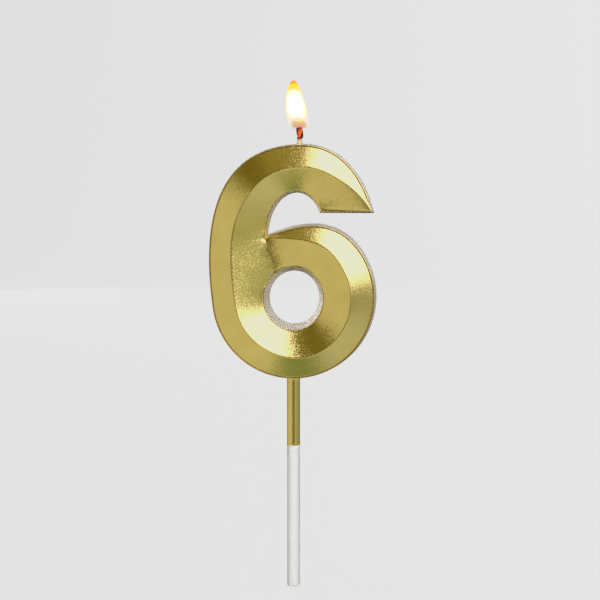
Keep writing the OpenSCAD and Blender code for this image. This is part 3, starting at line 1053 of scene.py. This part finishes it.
def studio_reflections():
    """What the gloss sees: a bright softbox up to the right, a dark flag up to the left, tinted cards."""
    world = bpy.data.worlds.new("studio")
    bpy.context.scene.world = world
    world.cycles_visibility.diffuse = False
    world.use_nodes = True
    nodes, links = world.node_tree.nodes, world.node_tree.links
    nodes.clear()
    out = add(nodes, "ShaderNodeOutputWorld")
    back = add(nodes, "ShaderNodeBackground")
    axes = add(nodes, "ShaderNodeSeparateXYZ")
    links.new(add(nodes, "ShaderNodeTexCoord").outputs["Generated"], axes.inputs["Vector"])
    turn = add(nodes, "ShaderNodeMath", operation="ARCTAN2")
    links.new(axes.outputs["Z"], turn.inputs[0])
    links.new(axes.outputs["X"], turn.inputs[1])
    share = add(nodes, "ShaderNodeMapRange")
    share.inputs["From Min"].default_value = -math.pi
    share.inputs["From Max"].default_value = math.pi
    links.new(turn.outputs["Value"], share.inputs["Value"])

    def at(degrees):
        """The place on a ramp of an angle from the right."""
        return ((degrees + 180) % 360) / 360

    def turned(stops):
        """The colour from a ramp that runs round the line of sight."""
        n = ramp(nodes, stops)
        links.new(share.outputs["Result"], n.inputs["Fac"])
        return n.outputs["Color"]

    tan, low_right, olive = (0.78, 0.755, 0.50), (0.68, 0.69, 0.54), (0.29, 0.37, 0.17)
    right, green = (0.46, 0.46, 0.30), (0.53, 0.56, 0.31)
    dusk, dark, key = (0.36, 0.31, 0.08), (0.23, 0.19, 0.03), (2.7, 2.65, 2.6)
    steep = turned([(0.0, tan), (at(-112), tan), (at(-98), olive), (at(-80), olive), (at(-58), low_right),
                    (at(-30), low_right), (at(-8), right), (at(3), right), (at(20), key), (at(77), key),
                    (at(92), dusk), (at(112), dusk), (at(126), dark), (at(140), dark), (at(156), tan),
                    (1.0, tan)])
    gentle = turned([(0.0, tan), (at(-80), tan), (at(-50), low_right), (at(-20), green), (at(1), green),
                     (at(25), key), (at(77), key), (at(91), dark), (at(140), dark), (at(156), tan),
                     (1.0, tan)])
    along = add(nodes, "ShaderNodeMapRange")
    along.inputs["From Min"].default_value = -1
    along.inputs["From Max"].default_value = 1
    links.new(axes.outputs["Y"], along.inputs["Value"])

    def mixed(a, b, stops, kind="MIX"):
        """a turned into b, or multiplied by the ramp itself, along the line of sight."""
        share_along = ramp(nodes, stops)
        links.new(along.outputs["Result"], share_along.inputs["Fac"])
        n = add(nodes, "ShaderNodeMix", data_type="RGBA", blend_type=kind)
        n.inputs["Factor"].default_value = 1
        links.new(a, n.inputs["A"])
        links.new(b or share_along.outputs["Color"], n.inputs["B"])
        if b:
            links.new(share_along.outputs["Color"], n.inputs["Factor"])
        return n.outputs["Result"]

    black, white = grey(0), grey(1)
    rings = mixed(gentle, steep, [(0.15, black), (0.24, white)])
    shade = [(0.0, (0.33, 0.28, 0.17)), (0.03, (0.38, 0.33, 0.2)), (0.05, white), (0.62, white),
             (0.85, grey(0.35)), (1.0, grey(0.3))]
    links.new(mixed(rings, None, shade, "MULTIPLY"), back.inputs["Color"])
    links.new(back.outputs["Background"], out.inputs["Surface"])


def area_light(name, position, aim, size, power):
    """A soft panel that lights the matt surfaces and stays out of the reflections."""
    data = bpy.data.lights.new(name, "AREA")
    data.shape = "SQUARE"
    data.size = size
    data.energy = power
    light = bpy.data.objects.new(name, data)
    bpy.context.scene.collection.objects.link(light)
    light.location = position
    light.rotation_mode = "QUATERNION"
    light.rotation_quaternion = (Vector(aim) - Vector(position)).to_track_quat("-Z", "Y")
    light.visible_camera = False
    light.visible_glossy = False


def studio_light():
    """Soft panels all round: position, aim, width in metres and power in watts."""
    middle = (0, 0, BASE_Z)
    area_light("right", (1.6, -0.1, 0.3), middle, 0.7, 5)
    area_light("left", (-1.6, -0.1, 0.3), middle, 0.7, 2.5)
    area_light("fill", (-1.0, -0.9, 0.4), middle, 1.0, 7.5)
    area_light("front", (0.8, -1.5, 0.3), middle, 0.7, 19.5)
    area_light("low", (0.0, -0.9, 0.04), (0, 0, BASE_Z + NUMBER_H / 2), 0.5, 5)
    area_light("overhead", (0, 0.2, 1.8), (0, 0.2, 0), 2.4, 16)
    area_light("back", (-0.7, 1.4, 0.5), middle, 0.9, 38)


def camera():
    """Looks at the bowl from the front, a little from the right and from above."""
    azimuth, elevation, distance = math.radians(2.2), math.radians(3.6), 0.42
    back = Vector((math.sin(azimuth) * math.cos(elevation), -math.cos(azimuth) * math.cos(elevation),
                   math.sin(elevation)))
    aim = Vector((2.1 * MM, EDGE_Y, BASE_Z + (BOWL[1] - 0.7) * MM))
    data = bpy.data.cameras.new("camera")
    data.sensor_width = 36
    data.lens = data.sensor_width / 2 * distance / HALF_VIEW
    data.clip_start, data.clip_end = 0.01, 20
    cam = bpy.data.objects.new("camera", data)
    bpy.context.scene.collection.objects.link(cam)
    cam.location = aim + back * distance
    cam.rotation_mode = "QUATERNION"
    cam.rotation_quaternion = (-back).to_track_quat("-Z", "Y")
    bpy.context.scene.camera = cam


def photo_tones():
    """Full white prints as a light grey; only light far above it, like the flame's, prints as white."""
    view = bpy.context.scene.view_settings
    view.view_transform = "Standard"
    view.use_curve_mapping = True
    tones = view.curve_mapping
    tones.extend = "HORIZONTAL"
    tones.white_level = (FLAME_WHITE, FLAME_WHITE, FLAME_WHITE)
    curve_all = tones.curves[3]
    for level, print_level in ((1.0, PAPER_WHITE), (2.6, PAPER_WHITE), (4.0, 1.0)):
        curve_all.points.new(level / FLAME_WHITE, print_level)
    for point in curve_all.points:
        point.handle_type = "VECTOR"
    tones.update()


camera()
photo_tones()
studio_reflections()
studio_light()
stage()
GOLD = gold_paint()
finish_piece(gold_face(), GOLD, "gold_coat", "gold_face_coat")
finish_piece(notch_gold(), pooled_gold(), "gold_coat")
finish_piece(wax_numeral(), white_wax(), "wax", "wax_body")
finish_piece(stick_piece(), white_plastic(), "stick_white", "stick")
finish_piece(stick_coat_piece(), GOLD, "gold_coat", "stick_gold_coat")

COTTON_WICK = yarn("charred_cotton", (0.012, 0.008, 0.008), None)
EMBER_WICK = yarn("glowing_cotton", (0.05, 0.01, 0.005), (2.9, 0.24, 0.012))
finish_piece(wick_wax(), cream_wax(), "priming_wax", "wick_wax_coat")
finish_piece(strand("wick_strand_1", 0), EMBER_WICK, "wick_cotton", "wick_yarn_1")
finish_piece(strand("wick_strand_2", 1), COTTON_WICK, "wick_cotton", "wick_yarn_2")
finish_piece(strand("wick_strand_3", 2), COTTON_WICK, "wick_cotton", "wick_yarn_3")
flame()
